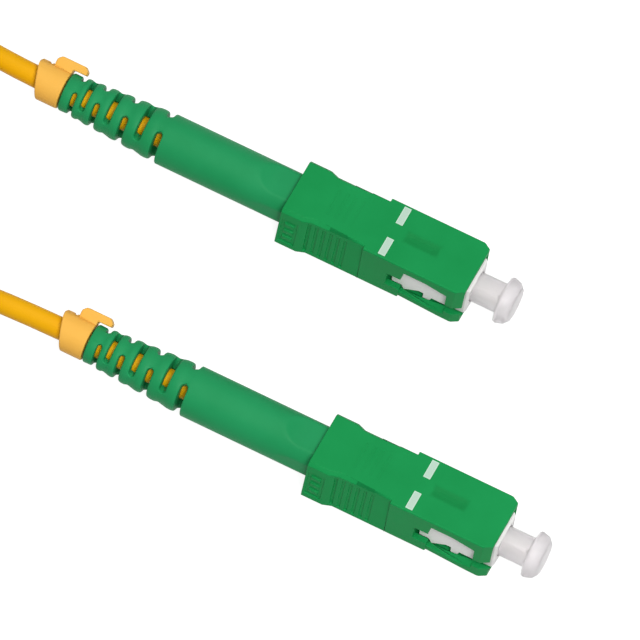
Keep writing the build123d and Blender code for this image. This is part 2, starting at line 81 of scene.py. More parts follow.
def camera_axes():
    """Right, up and back of the turned camera."""
    flat = math.cos(camera_elevation)
    sine, cosine = math.sin(camera_azimuth), math.cos(camera_azimuth)
    back = Vector((sine * flat, -cosine * flat, math.sin(camera_elevation)))
    level = Vector((cosine, sine, 0))
    right = level * math.cos(camera_roll) + back.cross(level) * math.sin(camera_roll)
    return right, back.cross(right), back


def make_camera():
    data = bpy.data.cameras.new("catalogue_camera")
    camera = bpy.data.objects.new("catalogue_camera", data)
    bpy.context.collection.objects.link(camera)
    right, up, back = camera_axes()
    camera.rotation_mode = "QUATERNION"
    camera.rotation_quaternion = Matrix((right, up, back)).transposed().to_quaternion()
    camera.location = looked_at + back * camera_distance
    picture_width = picture_pixels / pixels_per_metre
    data.lens = data.sensor_width * camera_distance / picture_width
    data.clip_start = camera_distance / 2
    data.clip_end = camera_distance * 4
    bpy.context.scene.camera = camera
    print("lens", round(data.lens, 1), "mm, picture", round(picture_width / mm, 2), "mm wide")


make_camera()

# %% [markdown]
# ## Shader tools
#
# A moulded plastic is never one flat colour: it has a fine spark-eroded skin, slightly uneven gloss,
# and a faint change of tone where the mould was thick or thin. The same three effects come back in
# every plastic here, so they are one node group, with its sizes as inputs. The shader itself stays in
# each material, where its plain numbers can be read.

# %% Small helpers for node trees
def linear(red, green, blue):
    """A colour written as 0 to 255, as the shader wants it."""
    share = [value / 255 for value in (red, green, blue)]
    return [s / 12.92 if s <= 0.04045 else ((s + 0.055) / 1.055) ** 2.4 for s in share] + [1.0]


def add_node(tree, kind, settings=None, **values):
    """A node with its settings, and its inputs set or linked by name."""
    node = tree.nodes.new(kind)
    for name, value in (settings or {}).items():
        setattr(node, name, value)
    for name, value in values.items():
        plug_in(tree, node.inputs[name.replace("_", " ")], value)
    return node


def plug_in(tree, socket, value):
    """Links a socket if the value is one, and sets it if it is a number."""
    if isinstance(value, bpy.types.NodeSocket):
        tree.links.new(value, socket)
    else:
        socket.default_value = value


def math_node(tree, operation, first, second=0.0):
    node = add_node(tree, "ShaderNodeMath", {"operation": operation})
    plug_in(tree, node.inputs[0], first)
    plug_in(tree, node.inputs[1], second)
    return node.outputs[0]


def vector_node(tree, operation, first, second=(0.0, 0.0, 0.0)):
    node = add_node(tree, "ShaderNodeVectorMath", {"operation": operation})
    plug_in(tree, node.inputs[0], first)
    plug_in(tree, node.inputs[1], second)
    return node.outputs["Vector"]


def mix_colour(tree, share, first, second):
    node = add_node(tree, "ShaderNodeMix", {"data_type": "RGBA"})
    plug_in(tree, node.inputs["Factor"], share)
    plug_in(tree, node.inputs["A"], first)
    plug_in(tree, node.inputs["B"], second)
    return node.outputs["Result"]


def ramp(tree, value, low, high):
    node = add_node(tree, "ShaderNodeMapRange", Value=value)
    node.inputs["From Min"].default_value = low
    node.inputs["From Max"].default_value = high
    return node.outputs["Result"]


def new_group(name, inputs, outputs):
    """An empty shader group: numbers become float inputs and triples become vector inputs."""
    group = bpy.data.node_groups.new(name, "ShaderNodeTree")
    for label, value in inputs.items():
        kind = "NodeSocketVector" if isinstance(value, tuple) else "NodeSocketFloat"
        socket = group.interface.new_socket(label, in_out="INPUT", socket_type=kind)
        socket.default_value = value
    for label, kind in outputs.items():
        group.interface.new_socket(label, in_out="OUTPUT", socket_type=kind)
    start = group.nodes.new("NodeGroupInput")
    end = group.nodes.new("NodeGroupOutput")
    return group, start, end


# %% The moulded skin group
cloud_low, cloud_high = 0.3, 0.7


def make_moulded_skin():
    group, start, end = new_group(
        "moulded_skin",
        {"Grain Size": 0.15, "Cloud Size": 6.0, "Roughness": 0.4, "Roughness Spread": 0.08},
        {"Tone": "NodeSocketFloat", "Roughness": "NodeSocketFloat", "Height": "NodeSocketFloat"},
    )
    place = add_node(group, "ShaderNodeTexCoord").outputs["Object"]
    fine = math_node(group, "DIVIDE", 1 / mm, start.outputs["Grain Size"])
    broad = math_node(group, "DIVIDE", 1 / mm, start.outputs["Cloud Size"])
    grain = add_node(group, "ShaderNodeTexNoise", Vector=place, Scale=fine, Detail=3.0)
    cloud = add_node(group, "ShaderNodeTexNoise", Vector=place, Scale=broad, Detail=4.0)
    tone = ramp(group, cloud.outputs["Fac"], cloud_low, cloud_high)
    uneven = math_node(group, "SUBTRACT", tone, 0.5)
    spread = math_node(group, "MULTIPLY", uneven, start.outputs["Roughness Spread"])
    group.links.new(tone, end.inputs["Tone"])
    group.links.new(math_node(group, "ADD", start.outputs["Roughness"], spread), end.inputs["Roughness"])
    group.links.new(grain.outputs["Fac"], end.inputs["Height"])
    return group


moulded_skin = make_moulded_skin()


# %% The soft box group
def make_soft_box():
    """A mask that is 1 inside a box and fades to 0 outside it, all in millimetres."""
    group, start, end = new_group(
        "soft_box",
        {"Centre": (0.0, 0.0, 0.0), "Half Size": (1.0, 1.0, 1.0), "Fade": 0.2},
        {"Mask": "NodeSocketFloat"},
    )
    place = add_node(group, "ShaderNodeTexCoord").outputs["Object"]
    scaled = vector_node(group, "MULTIPLY", place, (1 / mm, 1 / mm, 1 / mm))
    offset = vector_node(group, "ABSOLUTE", vector_node(group, "SUBTRACT", scaled, start.outputs["Centre"]))
    past = vector_node(group, "SUBTRACT", offset, start.outputs["Half Size"])
    axes = add_node(group, "ShaderNodeSeparateXYZ", Vector=past).outputs
    widest = math_node(group, "MAXIMUM", math_node(group, "MAXIMUM", axes["X"], axes["Y"]), axes["Z"])
    share = math_node(group, "DIVIDE", widest, start.outputs["Fade"])
    inside = add_node(group, "ShaderNodeMapRange", {"interpolation_type": "SMOOTHSTEP"}, Value=share)
    inside.inputs["To Min"].default_value = 1.0
    inside.inputs["To Max"].default_value = 0.0
    group.links.new(inside.outputs["Result"], end.inputs["Mask"])
    return group


soft_box = make_soft_box()


# %% The handled surface group
scuff_stretch = 0.3
scuff_starts, scuff_full = 0.58, 0.72
scuff_roughness = 0.12


def make_handling():
    """Faint scuffs, so that no plastic looks like it left the mould today."""
    group, start, end = new_group(
        "handling",
        {"Scuff Size": 1.2, "Scuff Amount": 0.5},
        {"Scuff": "NodeSocketFloat"},
    )
    place = add_node(group, "ShaderNodeTexCoord").outputs["Object"]
    stretched = vector_node(group, "MULTIPLY", place, (scuff_stretch / mm, 1 / mm, 1 / mm))
    size = math_node(group, "DIVIDE", 1.0, start.outputs["Scuff Size"])
    scuffs = add_node(group, "ShaderNodeTexNoise", Vector=stretched, Scale=size, Detail=5.0, Roughness=0.7)
    thin = ramp(group, scuffs.outputs["Fac"], scuff_starts, scuff_full)
    group.links.new(math_node(group, "MULTIPLY", thin, start.outputs["Scuff Amount"]), end.inputs["Scuff"])
    return group


handling = make_handling()


# %% One way to build every plastic
def new_material(name):
    """An empty material with its shader, ready for nodes."""
    material = bpy.data.materials.new(name)
    material.use_nodes = True
    tree = material.node_tree
    shader = tree.nodes["Principled BSDF"]
    return material, tree, shader


def place_group(tree, group, **values):
    node = tree.nodes.new("ShaderNodeGroup")
    node.node_tree = group
    for name, value in values.items():
        plug_in(tree, node.inputs[name.replace("_", " ")], value)
    return node


def set_bump(tree, shader, height, depth):
    """Bump whose depth is given in metres."""
    bump = add_node(tree, "ShaderNodeBump", Height=height, Distance=depth, Strength=1.0)
    tree.links.new(bump.outputs["Normal"], shader.inputs["Normal"])


def box_mask(tree, centre, half_size, fade):
    """The soft box mask round a place given in metres."""
    centre = tuple(value / mm for value in centre)
    half_size = tuple(value / mm for value in half_size)
    return place_group(tree, soft_box, Centre=centre, Half_Size=half_size, Fade=fade).outputs["Mask"]


def moulded_plastic(name, colour, darker, rough, grain=0.15, bump=0.002, shine=0.3, patches=()):
    """A plastic whose tone wanders between two colours, with patches of other colours on it.

    The grain and the bump are in millimetres. A patch is its centre, its half size, the width of its
    fade in millimetres, and its colour.
    """
    material, tree, shader = new_material(name)
    skin = place_group(tree, moulded_skin, Grain_Size=grain, Roughness=rough)
    touched = place_group(tree, handling)
    tone = mix_colour(tree, skin.outputs["Tone"], linear(*darker), linear(*colour))
    for centre, half_size, fade, patch_colour in patches:
        tone = mix_colour(tree, box_mask(tree, centre, half_size, fade), tone, linear(*patch_colour))
    tree.links.new(tone, shader.inputs["Base Color"])
    worn = math_node(tree, "MULTIPLY", touched.outputs["Scuff"], scuff_roughness)
    tree.links.new(math_node(tree, "ADD", skin.outputs["Roughness"], worn), shader.inputs["Roughness"])
    set_bump(tree, shader, skin.outputs["Height"], bump * mm)
    shader.inputs["Specular IOR Level"].default_value = shine
    return material


# %% [markdown]
# ## The plastics
#
# The grip is a satin green, the boot a bluer green in a softer rubber, the clip a pale orange, and the
# cable jacket a warm yellow. The tones are what the catalogue picture shows in plain light. The cap
# lets some light through, so part of its surface transmits it, blurred by its roughness.

# %% Plastics
cap_clearness = 0.6

boot_green = moulded_plastic("boot_green", (34, 154, 93), (27, 147, 86), 0.5,
                             grain=0.25, bump=0.004, shine=0.15)
frame_white = moulded_plastic("frame_white", (254, 252, 251), (249, 247, 246), 0.35)
cap_white = moulded_plastic("cap_white", (255, 252, 253), (252, 248, 250), 0.35)
cap_shader = cap_white.node_tree.nodes["Principled BSDF"]
cap_shader.inputs["Transmission Weight"].default_value = cap_clearness
clip_peach = moulded_plastic("clip_peach", (255, 194, 86), (253, 188, 78), 0.5, shine=0.15)
jacket_yellow = moulded_plastic("jacket_yellow", (250, 184, 4), (245, 177, 2), 0.45,
                                grain=0.12, bump=0.001, shine=0.15)
guide_natural = moulded_plastic("guide_natural", (228, 226, 220), (216, 214, 208), 0.4)
buffer_white = moulded_plastic("buffer_white", (236, 236, 232), (226, 226, 222), 0.45)
aramid = moulded_plastic("aramid", (232, 205, 116), (214, 182, 90), 0.6, grain=0.05, bump=0.01)

# %% [markdown]
# ## Finishes with a pattern in one place
#
# Some things are only a change of colour in one spot: painted shade on the floor of the shallow
# recess in the grip's top, the pale rim where the ink of an index mark is thinner, and the glass fibre
# in the middle of the ferrule's end. A box mask round the place does each of them, and the place comes
# from the imported piece's own box, so it stays right when the part changes.

# %% Patches placed by the frame
recess_setback = 8.1 * mm
recess_half = Vector((2.1, 0.55, 0.15)) * mm
recess_shade_fade = 0.7
mark_gap = 1.25 * mm
mark_rim = 0.14 * mm
mark_fade = 0.08
fibre_radius = 0.0625 * mm
fibre_depth = 0.5 * mm
fibre_fade = 0.02


def front_and_axis(end):
    """The point on the plug's axis at the front face of its grip."""
    grip_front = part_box(f"outer_housing_{end}")[1][0]
    low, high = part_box(f"dust_cap_{end}")
    return Vector((grip_front, (low[1] + high[1]) / 2, (low[2] + high[2]) / 2))


def make_housing_green(end):
    front = front_and_axis(end)
    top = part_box(f"outer_housing_{end}")[1][2]
    centre = Vector((front.x - recess_setback, front.y, top))
    # The patch on the recess is painted shade: a darker green where the dish's slopes would lie in shade.
    patch = (centre, recess_half, recess_shade_fade, (20, 138, 70))
    return moulded_plastic(f"housing_green_{end}", (26, 154, 82), (21, 147, 76), 0.42,
                           shine=0.08, patches=[patch])


def make_mark_ink(end):
    low, high = (Vector(corner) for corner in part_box(f"index_marks_{end}"))
    centre = (low + high) / 2
    half = (high - low) / 2
    length = half.y - mark_gap
    core = Vector((half.x - mark_rim, length / 2 - mark_rim, half.z * 2))
    patches = []
    for side in (1, -1):
        middle = centre + Vector((0, side * (mark_gap + length / 2), 0))
        patches.append((middle, core, mark_fade, (192, 220, 202)))
    return moulded_plastic(f"mark_ink_{end}", (212, 240, 222), (206, 236, 217), 0.55, patches=patches)


def make_zirconia(end):
    front = front_and_axis(end)
    tip = Vector((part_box(f"ferrule_{end}")[1][0], front.y, front.z))
    core = Vector((fibre_depth, fibre_radius, fibre_radius))
    patch = (tip, core, fibre_fade, (70, 76, 88))
    return moulded_plastic(f"zirconia_{end}", (240, 238, 232), (235, 233, 227), 0.18,
                           bump=0.0005, shine=0.6, patches=[patch])


housing_green = {end: make_housing_green(end) for end in plug_ends}
mark_ink = {end: make_mark_ink(end) for end in plug_ends}
zirconia = {end: make_zirconia(end) for end in plug_ends}
print("materials", len(bpy.data.materials))

# %% [markdown]
# ## The metals
#
# The ring that closes the plug and the collar of the ferrule are turned brass under nickel, the spring
# is drawn steel wire, and the crimp sleeve is soft aluminium. A lathe leaves fine rings across the
# axis, so one group makes rings along X.

# %% The turned rings group and the metals
ring_roughness_spread = 0.2
ring_depth = 0.002 * mm


def make_turned_rings():
    group, start, end = new_group(
        "turned_rings",
        {"Ring Size": 0.06, "Roughness": 0.25},
        {"Roughness": "NodeSocketFloat", "Height": "NodeSocketFloat"},
    )
    place = add_node(group, "ShaderNodeTexCoord").outputs["Object"]
    split = add_node(group, "ShaderNodeSeparateXYZ", Vector=place)
    rings = math_node(group, "DIVIDE", split.outputs["X"], start.outputs["Ring Size"])
    along = math_node(group, "MULTIPLY", rings, 1 / mm)
    noise = add_node(group, "ShaderNodeTexNoise", {"noise_dimensions": "1D"}, W=along, Scale=1.0, Detail=2.0)
    uneven = math_node(group, "MULTIPLY", noise.outputs["Fac"], ring_roughness_spread)
    group.links.new(math_node(group, "ADD", start.outputs["Roughness"], uneven), end.inputs["Roughness"])
    group.links.new(noise.outputs["Fac"], end.inputs["Height"])
    return group


turned_rings = make_turned_rings()


def turned_metal(name, colour, rough, ring=0.06):
    """A metal with fine rings, given as millimetres from one to the next."""
    material, tree, shader = new_material(name)
    rings = place_group(tree, turned_rings, Ring_Size=ring, Roughness=rough)
    shader.inputs["Base Color"].default_value = linear(*colour)
    shader.inputs["Metallic"].default_value = 1.0
    tree.links.new(rings.outputs["Roughness"], shader.inputs["Roughness"])
    set_bump(tree, shader, rings.outputs["Height"], ring_depth)
    return material


nickel_brass = turned_metal("nickel_brass", (214, 208, 196), 0.2)
stop_nickel = turned_metal("stop_nickel", (210, 206, 198), 0.22)
spring_steel = turned_metal("spring_steel", (196, 198, 202), 0.18, ring=0.02)
crimp_aluminium = turned_metal("crimp_aluminium", (206, 208, 212), 0.3)

# %% [markdown]
# ## Dressing the solids
#
# A solid whose shape is right keeps its mesh and only gets its material. That holds for the pieces
# inside the plug that don't change their shape, and for the marks on the grip.

# %% Which finish goes on which solid
finishes = {
    "ferrule_holder": nickel_brass,
    "guide_tube": guide_natural,
    "fibre_buffer": buffer_white,
    "stop_ring": stop_nickel,
    "crimp_sleeve": crimp_aluminium,
    "jacket_end": jacket_yellow,
    "index_marks": mark_ink,
    "ferrule": zirconia,
}
for end in plug_ends:
    for piece, finish in finishes.items():
        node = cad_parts[f"{piece}_{end}"]
        node.data.materials.clear()
        node.data.materials.append(finish[end] if isinstance(finish, dict) else finish)

# %% [markdown]
# ## Softened mouldings
#
# No moulding has a knife edge: the steel mould is polished, and each edge comes out a little round,
# from a twentieth of a millimetre on the frame to a third on the cap. That thin line catches the light
# and makes the piece look real. The solid's own mesh is loose triangles, so a copy is welded first,
# its flat faces are made whole again, and then the sharp edges are bevelled. Edges of very thin faces
# are left alone, because a round edge needs room on both sides. Then each face's normals are weighted
# by its area, so the flat faces still look flat and only the roundings turn the light.

# %% Softening
weld_distance = 0.002 * mm
flat_angle = math.radians(0.5)
sharp_angle = math.radians(25)
crease_angle = math.radians(35)
few_sides = 6
same_way = 0.85
area_weight = 90


def welded_form(node_name):
    """The solid's mesh as one closed form with whole flat faces."""
    form = bmesh.new()
    form.from_mesh(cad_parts[node_name].data)
    bmesh.ops.remove_doubles(form, verts=form.verts, dist=weld_distance)
    bmesh.ops.dissolve_limit(form, angle_limit=flat_angle, verts=form.verts, edges=form.edges)
    return form


def has_room(edge, radius):
    """Whether both faces beside an edge are wide enough for a rounding.

    A face with few sides is as wide as its area over the edge. One with more sides is taken as a band
    along its outline.
    """
    for face in edge.link_faces:
        area = face.calc_area()
        plain = len(face.edges) < few_sides
        width = area / edge.calc_length() if plain else 2 * area / face.calc_perimeter()
        if width < 2 * radius:
            return False
    return True


def runs_on(edge, sharp, radius):
    """Whether a short edge is one step of a longer line, as on an arc."""
    if edge.calc_length() > 2 * radius:
        return True
    ahead = (edge.verts[1].co - edge.verts[0].co).normalized()
    for vertex in edge.verts:
        follows = False
        for other in vertex.link_edges:
            if other in sharp and other is not edge:
                way = (other.other_vert(vertex).co - vertex.co).normalized()
                follows = follows or abs(way.dot(ahead)) > same_way
        if not follows:
            return False
    return True


def flat_faces_first(mesh, angle):
    """Smooth shading that keeps edges over an angle sharp and leaves large faces flat."""
    mesh.shade_smooth()
    mesh.set_sharp_from_angle(angle=angle)
    carrier = bpy.data.objects.new("carrier", mesh)
    bpy.context.collection.objects.link(carrier)
    weigh = carrier.modifiers.new("weigh", "WEIGHTED_NORMAL")
    weigh.keep_sharp = True
    weigh.weight = area_weight
    return applied(carrier)


def applied(carrier):
    """The plain mesh that an object's modifiers make, with the object taken away."""
    depsgraph = bpy.context.evaluated_depsgraph_get()
    mesh = bpy.data.meshes.new_from_object(carrier.evaluated_get(depsgraph), depsgraph=depsgraph)
    bpy.data.objects.remove(carrier)
    return mesh


def new_piece(name, mesh, body, slot, finish, *nodes):
    """A finished piece at the origin that rides a body and stands for nodes."""
    piece = bpy.data.objects.new(name, mesh)
    bpy.context.collection.objects.link(piece)
    mesh.materials.clear()
    mesh.materials.append(finish)
    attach(piece, body)
    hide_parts(*nodes)
    return piece


def bevel_edges(form, edges, radius, segments):
    bmesh.ops.bevel(form, geom=edges, offset=radius, offset_type="OFFSET", segments=segments,
                    profile=0.5, affect="EDGES", clamp_overlap=False)


def softened(node_name, radius, segments=2, reshape=None):
    """A copy of the solid's mesh with its sharp edges rounded."""
    form = welded_form(node_name)
    if reshape:
        reshape(form)
    sharp = {edge for edge in form.edges if edge.calc_face_angle(0.0) > sharp_angle}
    edges = [e for e in form.edges if e in sharp and has_room(e, radius) and runs_on(e, sharp, radius)]
    bevel_edges(form, edges, radius, segments)
    mesh = bpy.data.meshes.new(node_name)
    form.to_mesh(mesh)
    form.free()
    mesh = flat_faces_first(mesh, crease_angle)
    print(node_name, "rounded edges", len(edges), "faces", len(mesh.polygons))
    return mesh


# %% The recess on top of the grip
recess_reach = recess_half + Vector((0.8, 0.8, 0)) * mm
recess_shallowest, recess_deepest = 0.03 * mm, 0.1 * mm
floor_shrink = Vector((0.72, 0.45))


def dish_recess(form):
    """Slants the walls of the shallow recess until it is a soft dish."""
    front = front_and_axis("a")
    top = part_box("outer_housing_a")[1][2]
    middle = Vector((front.x - recess_setback, front.y))
    moved = 0
    for vertex in form.verts:
        offset = vertex.co.xy - middle
        near = abs(offset.x) < recess_reach.x and abs(offset.y) < recess_reach.y
        if near and recess_shallowest < top - vertex.co.z < recess_deepest:
            vertex.co.xy = middle + offset * floor_shrink
            moved += 1
    print("recess corners moved", moved)


# %% [markdown]
# Both plugs come out of the same moulds, so each moulding is softened once, on plug a, and its copy
# moves over by the distance between the plugs.

# %% Both ends
plug_step = front_and_axis("b") - front_and_axis("a")
housing_rounding = 0.08 * mm
frame_rounding = 0.05 * mm
clip_rounding = 0.18 * mm
cap_rounding = 0.35 * mm


def at_end(mesh, end):
    """A copy of a mesh made for plug a, in its place on this end."""
    copy = mesh.copy()
    if end == "b":
        copy.transform(Matrix.Translation(plug_step))
    return copy


housing_mesh = softened("outer_housing_a", housing_rounding, reshape=dish_recess)
frame_mesh = softened("plug_frame_a", frame_rounding)
clip_mesh = softened("tail_clip_a", clip_rounding, segments=3)
cap_mesh = softened("dust_cap_a", cap_rounding, segments=4)
for end in plug_ends:
    new_piece(f"soft_housing_{end}", at_end(housing_mesh, end), f"grip_{end}", "housing_green",
              housing_green[end], f"outer_housing_{end}")
    new_piece(f"soft_frame_{end}", at_end(frame_mesh, end), "cord_set", "frame_white", frame_white,
              f"plug_frame_{end}")
    new_piece(f"soft_clip_{end}", at_end(clip_mesh, end), f"clip_{end}", "clip_peach", clip_peach,
              f"tail_clip_{end}")
    new_piece(f"soft_cap_{end}", at_end(cap_mesh, end), f"cap_{end}", "cap_white", cap_white,
              f"dust_cap_{end}")

# %% [markdown]
# ## The ferrule's spring
#
# When the plug is pushed home the ferrule moves back and its spring gets shorter. A solid can't do
# that, so a copy of the wire stands for it.

# %% Spring
wire_crease_angle = math.radians(50)

for end in plug_ends:
    low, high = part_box(f"ferrule_spring_{end}")
    wire = bpy.data.meshes.new(f"spring_wire_{end}")
    form = welded_form(f"ferrule_spring_{end}")
    form.to_mesh(wire)
    form.free()
    wire.shade_smooth()
    wire.set_sharp_from_angle(angle=wire_crease_angle)
    spring = new_piece(f"spring_wire_{end}", wire, "cord_set", "spring_steel", spring_steel,
                       f"ferrule_spring_{end}")
    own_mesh(spring)

# %% [markdown]
# ## The slotted boot
#
# The boot's shape follows a rule: a round wall that tapers towards the tail, with rows of slots that
# alternate between the top and the sides, each row wider and further from the last. So the boot is a
# Geometry Nodes tree. Its input is a bare spine, one point for each line round the boot, and each
# point carries how wide the wall is there and whether a slot begins or ends at it. The tree rolls
# the spine into a wall, takes out the faces of the slots, draws each slot's ends together so that
# they are round, presses the flats near the grip, and thickens what is left inwards. That leaves
# clean quads, so every slot edge can be rounded evenly.

# %% The boot's sizes
boot_tail_radius = 2.65 * mm
boot_smooth_radius = 3.55 * mm
boot_tail_length = 14.8 * mm
boot_rim = 0.25 * mm
slot_rows = 7
slot_first = 1.68 * mm
slot_pitch_tail = 1.55 * mm
slot_pitch_front = 2.83 * mm
slot_width_tail = 0.7 * mm
slot_width_front = 1.0 * mm
slot_half_angle = math.radians(67.5)
boot_columns = 96
slot_end_angle = math.radians(11.5)
slot_end_pinch = 0.8
land_crown = 0.1 * mm
land_lines = ((0.15, -0.3), (0.35, 0.2), (0.65, 0.2), (0.85, -0.3))
tail_bore = 1.56 * mm
wide_bore = 2.54 * mm
neck_length = 2.0 * mm
flat_half_height = 2.75 * mm
flat_half_width = 3.35 * mm
flat_rear = 31.6 * mm
flat_ramp = 2.8 * mm
flat_ramp_steps = 8
flat_lead = (4 * mm, 1 * mm)
boot_edge = 0.14 * mm
boot_edge_segments = 3
boot_corner_angle = math.radians(50)
boot_crease_angle = math.radians(40)


def boot_lines(end):
    """Every line round the boot, as x, top, side, pinch and crown.

    Top or side is 1 where the line is an edge of such a slot, the pinch is how far it moves to meet
    the slot's middle, and the crown is how far it stands out from the plain taper. The land between
    two slots has its own lines, each given by its share of the way across and its share of the crown.
    """
    low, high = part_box(f"boot_{end}")
    tail = low[0]
    lines = [(tail, 0.0, 0.0, 0.0, -boot_rim / 2), (tail + boot_rim, 0.0, 0.0, 0.0, 0.0)]
    middle = tail + slot_first
    edges = []
    for row in range(slot_rows):
        share = row / (slot_rows - 1)
        half = (slot_width_tail + share * (slot_width_front - slot_width_tail)) / 2
        edges.append((middle, half, float(row % 2)))
        middle += slot_pitch_tail + share * (slot_pitch_front - slot_pitch_tail)
    for (middle, half, top), after in zip(edges, edges[1:] + [None]):
        for side in (-half, half):
            shoulder = after is None and side > 0
            lines.append((middle + side, top, 1 - top, -side, 0.0 if shoulder else -land_crown))
        if after:
            land = after[0] - after[1] - middle - half
            for share, crown in land_lines:
                lines.append((middle + half + land * share, 0.0, 0.0, 0.0, crown * land_crown))
    plain = [tail + boot_tail_length, tail + boot_tail_length + neck_length]
    flat_start = front_and_axis(end).x - flat_rear
    plain += [flat_start - lead for lead in flat_lead]
    plain += [flat_start + flat_ramp * step / flat_ramp_steps for step in range(flat_ramp_steps + 1)]
    plain += [high[0] - boot_rim, high[0]]
    lines += [(x, 0.0, 0.0, 0.0, 0.0) for x in sorted(plain)]
    return tail, flat_start, lines


def make_spine(end):
    """The bare line of points, with what each one says about the wall."""
    tail, flat_start, lines = boot_lines(end)
    mesh = bpy.data.meshes.new(f"boot_spine_{end}")
    mesh.from_pydata([(line[0], 0, 0) for line in lines], [(i, i + 1) for i in range(len(lines) - 1)], [])
    values = {name: [] for name in ("outer", "bore", "top_slot", "side_slot", "pinch", "flat_y", "flat_z")}
    for x, top, side, pinch, crown in lines:
        share = min((x - tail) / boot_tail_length, 1)
        outer = boot_tail_radius + share * (boot_smooth_radius - boot_tail_radius) + crown
        neck = min(max((x - tail - boot_tail_length) / neck_length, 0), 1)
        ramped = min(max((x - flat_start) / flat_ramp, 0), 1)
        sunk = ramped * (2 - ramped)
        values["outer"].append(outer)
        values["bore"].append(tail_bore + neck * (wide_bore - tail_bore))
        values["top_slot"].append(top)
        values["side_slot"].append(side)
        values["pinch"].append(pinch)
        values["flat_y"].append(boot_smooth_radius + sunk * (flat_half_width - boot_smooth_radius))
        values["flat_z"].append(boot_smooth_radius + sunk * (flat_half_height - boot_smooth_radius))
    for name, numbers in values.items():
        mesh.attributes.new(name, "FLOAT", "POINT").data.foreach_set("value", numbers)
    return mesh


# %% Helpers for geometry trees
def new_geometry_tree(name, inputs):
    """A geometry tree with named inputs, given as name: (socket kind, value)."""
    tree = bpy.data.node_groups.new(name, "GeometryNodeTree")
    tree.interface.new_socket("Geometry", in_out="INPUT", socket_type="NodeSocketGeometry")
    for label, (kind, value) in inputs.items():
        socket = tree.interface.new_socket(label, in_out="INPUT", socket_type=kind)
        if value is not None:
            socket.default_value = value
    tree.interface.new_socket("Geometry", in_out="OUTPUT", socket_type="NodeSocketGeometry")
    return tree, tree.nodes.new("NodeGroupInput"), tree.nodes.new("NodeGroupOutput")


def read_attribute(tree, name):
    node = add_node(tree, "GeometryNodeInputNamedAttribute", {"data_type": "FLOAT"}, Name=name)
    return node.outputs["Attribute"]


def boolean_node(tree, operation, first, second):
    node = add_node(tree, "FunctionNodeBooleanMath", {"operation": operation})
    plug_in(tree, node.inputs[0], first)
    plug_in(tree, node.inputs[1], second)
    return node.outputs[0]


def above(tree, value, limit):
    return math_node(tree, "GREATER_THAN", value, limit)


def limited(tree, value, low, high):
    return math_node(tree, "MINIMUM", math_node(tree, "MAXIMUM", value, low), high)


def vector_of(tree, x=0.0, y=0.0, z=0.0):
    return add_node(tree, "ShaderNodeCombineXYZ", X=x, Y=y, Z=z).outputs["Vector"]


def finish_geometry(tree, geometry, start, end):
    """Every tree ends the same way: real geometry with its material on it."""
    real = add_node(tree, "GeometryNodeRealizeInstances", Geometry=geometry).outputs["Geometry"]
    painted = add_node(tree, "GeometryNodeSetMaterial", Geometry=real, Material=start.outputs["Material"])
    tree.links.new(painted.outputs["Geometry"], end.inputs["Geometry"])


def grow(name, base_mesh, tree, settings):
    """Runs a tree on a mesh and returns the plain mesh that comes out."""
    carrier = bpy.data.objects.new(name, base_mesh)
    bpy.context.collection.objects.link(carrier)
    modifier = carrier.modifiers.new(name, "NODES")
    modifier.node_group = tree
    sockets = {item.name: item.identifier for item in tree.interface.items_tree if item.in_out == "INPUT"}
    for label, value in settings.items():
        modifier[sockets[label]] = value
    carrier.update_tag()
    mesh = applied(carrier)
    mesh.name = name
    return mesh


# %% The boot's tree
slot_edge_marker = 0.9


def pinch_share(tree, angle, start):
    """How far a slot's two edges draw together: 0 along the slot, and most at its round end."""
    reach = start.outputs["Slot End Angle"]
    round_from = math_node(tree, "SUBTRACT", start.outputs["Slot Half Angle"], reach)
    past = math_node(tree, "DIVIDE", math_node(tree, "SUBTRACT", angle, round_from), reach)
    before_end = limited(tree, past, 0.0, 1.0)
    square = math_node(tree, "MULTIPLY", before_end, before_end)
    opening = math_node(tree, "SQRT", math_node(tree, "SUBTRACT", 1.0, square))
    rounded = math_node(tree, "SUBTRACT", 1.0, opening)
    after_end = limited(tree, math_node(tree, "SUBTRACT", 2.0, past), 0.0, 1.0)
    share = math_node(tree, "MULTIPLY", rounded, after_end)
    return math_node(tree, "MULTIPLY", share, start.outputs["Slot End Pinch"])


def slot_rules(tree, axes, start):
    """Which faces the slots take out, and how far each point moves along to round a slot's end."""
    across = math_node(tree, "ABSOLUTE", axes["Y"])
    upward = math_node(tree, "ABSOLUTE", axes["Z"])
    from_top = math_node(tree, "ARCTAN2", across, upward)
    from_side = math_node(tree, "ARCTAN2", upward, across)
    limit = start.outputs["Slot Half Angle"]
    cuts = []
    narrowing = 0.0
    for name, angle in (("top_slot", from_top), ("side_slot", from_side)):
        edge_here = read_attribute(tree, name)
        share = math_node(tree, "MULTIPLY", edge_here, pinch_share(tree, angle, start))
        narrowing = math_node(tree, "ADD", narrowing, share)
        between = above(tree, edge_here, slot_edge_marker)
        cuts.append(boolean_node(tree, "AND", between, above(tree, limit, angle)))
    lean = math_node(tree, "MULTIPLY", narrowing, read_attribute(tree, "pinch"))
    return boolean_node(tree, "OR", *cuts), lean


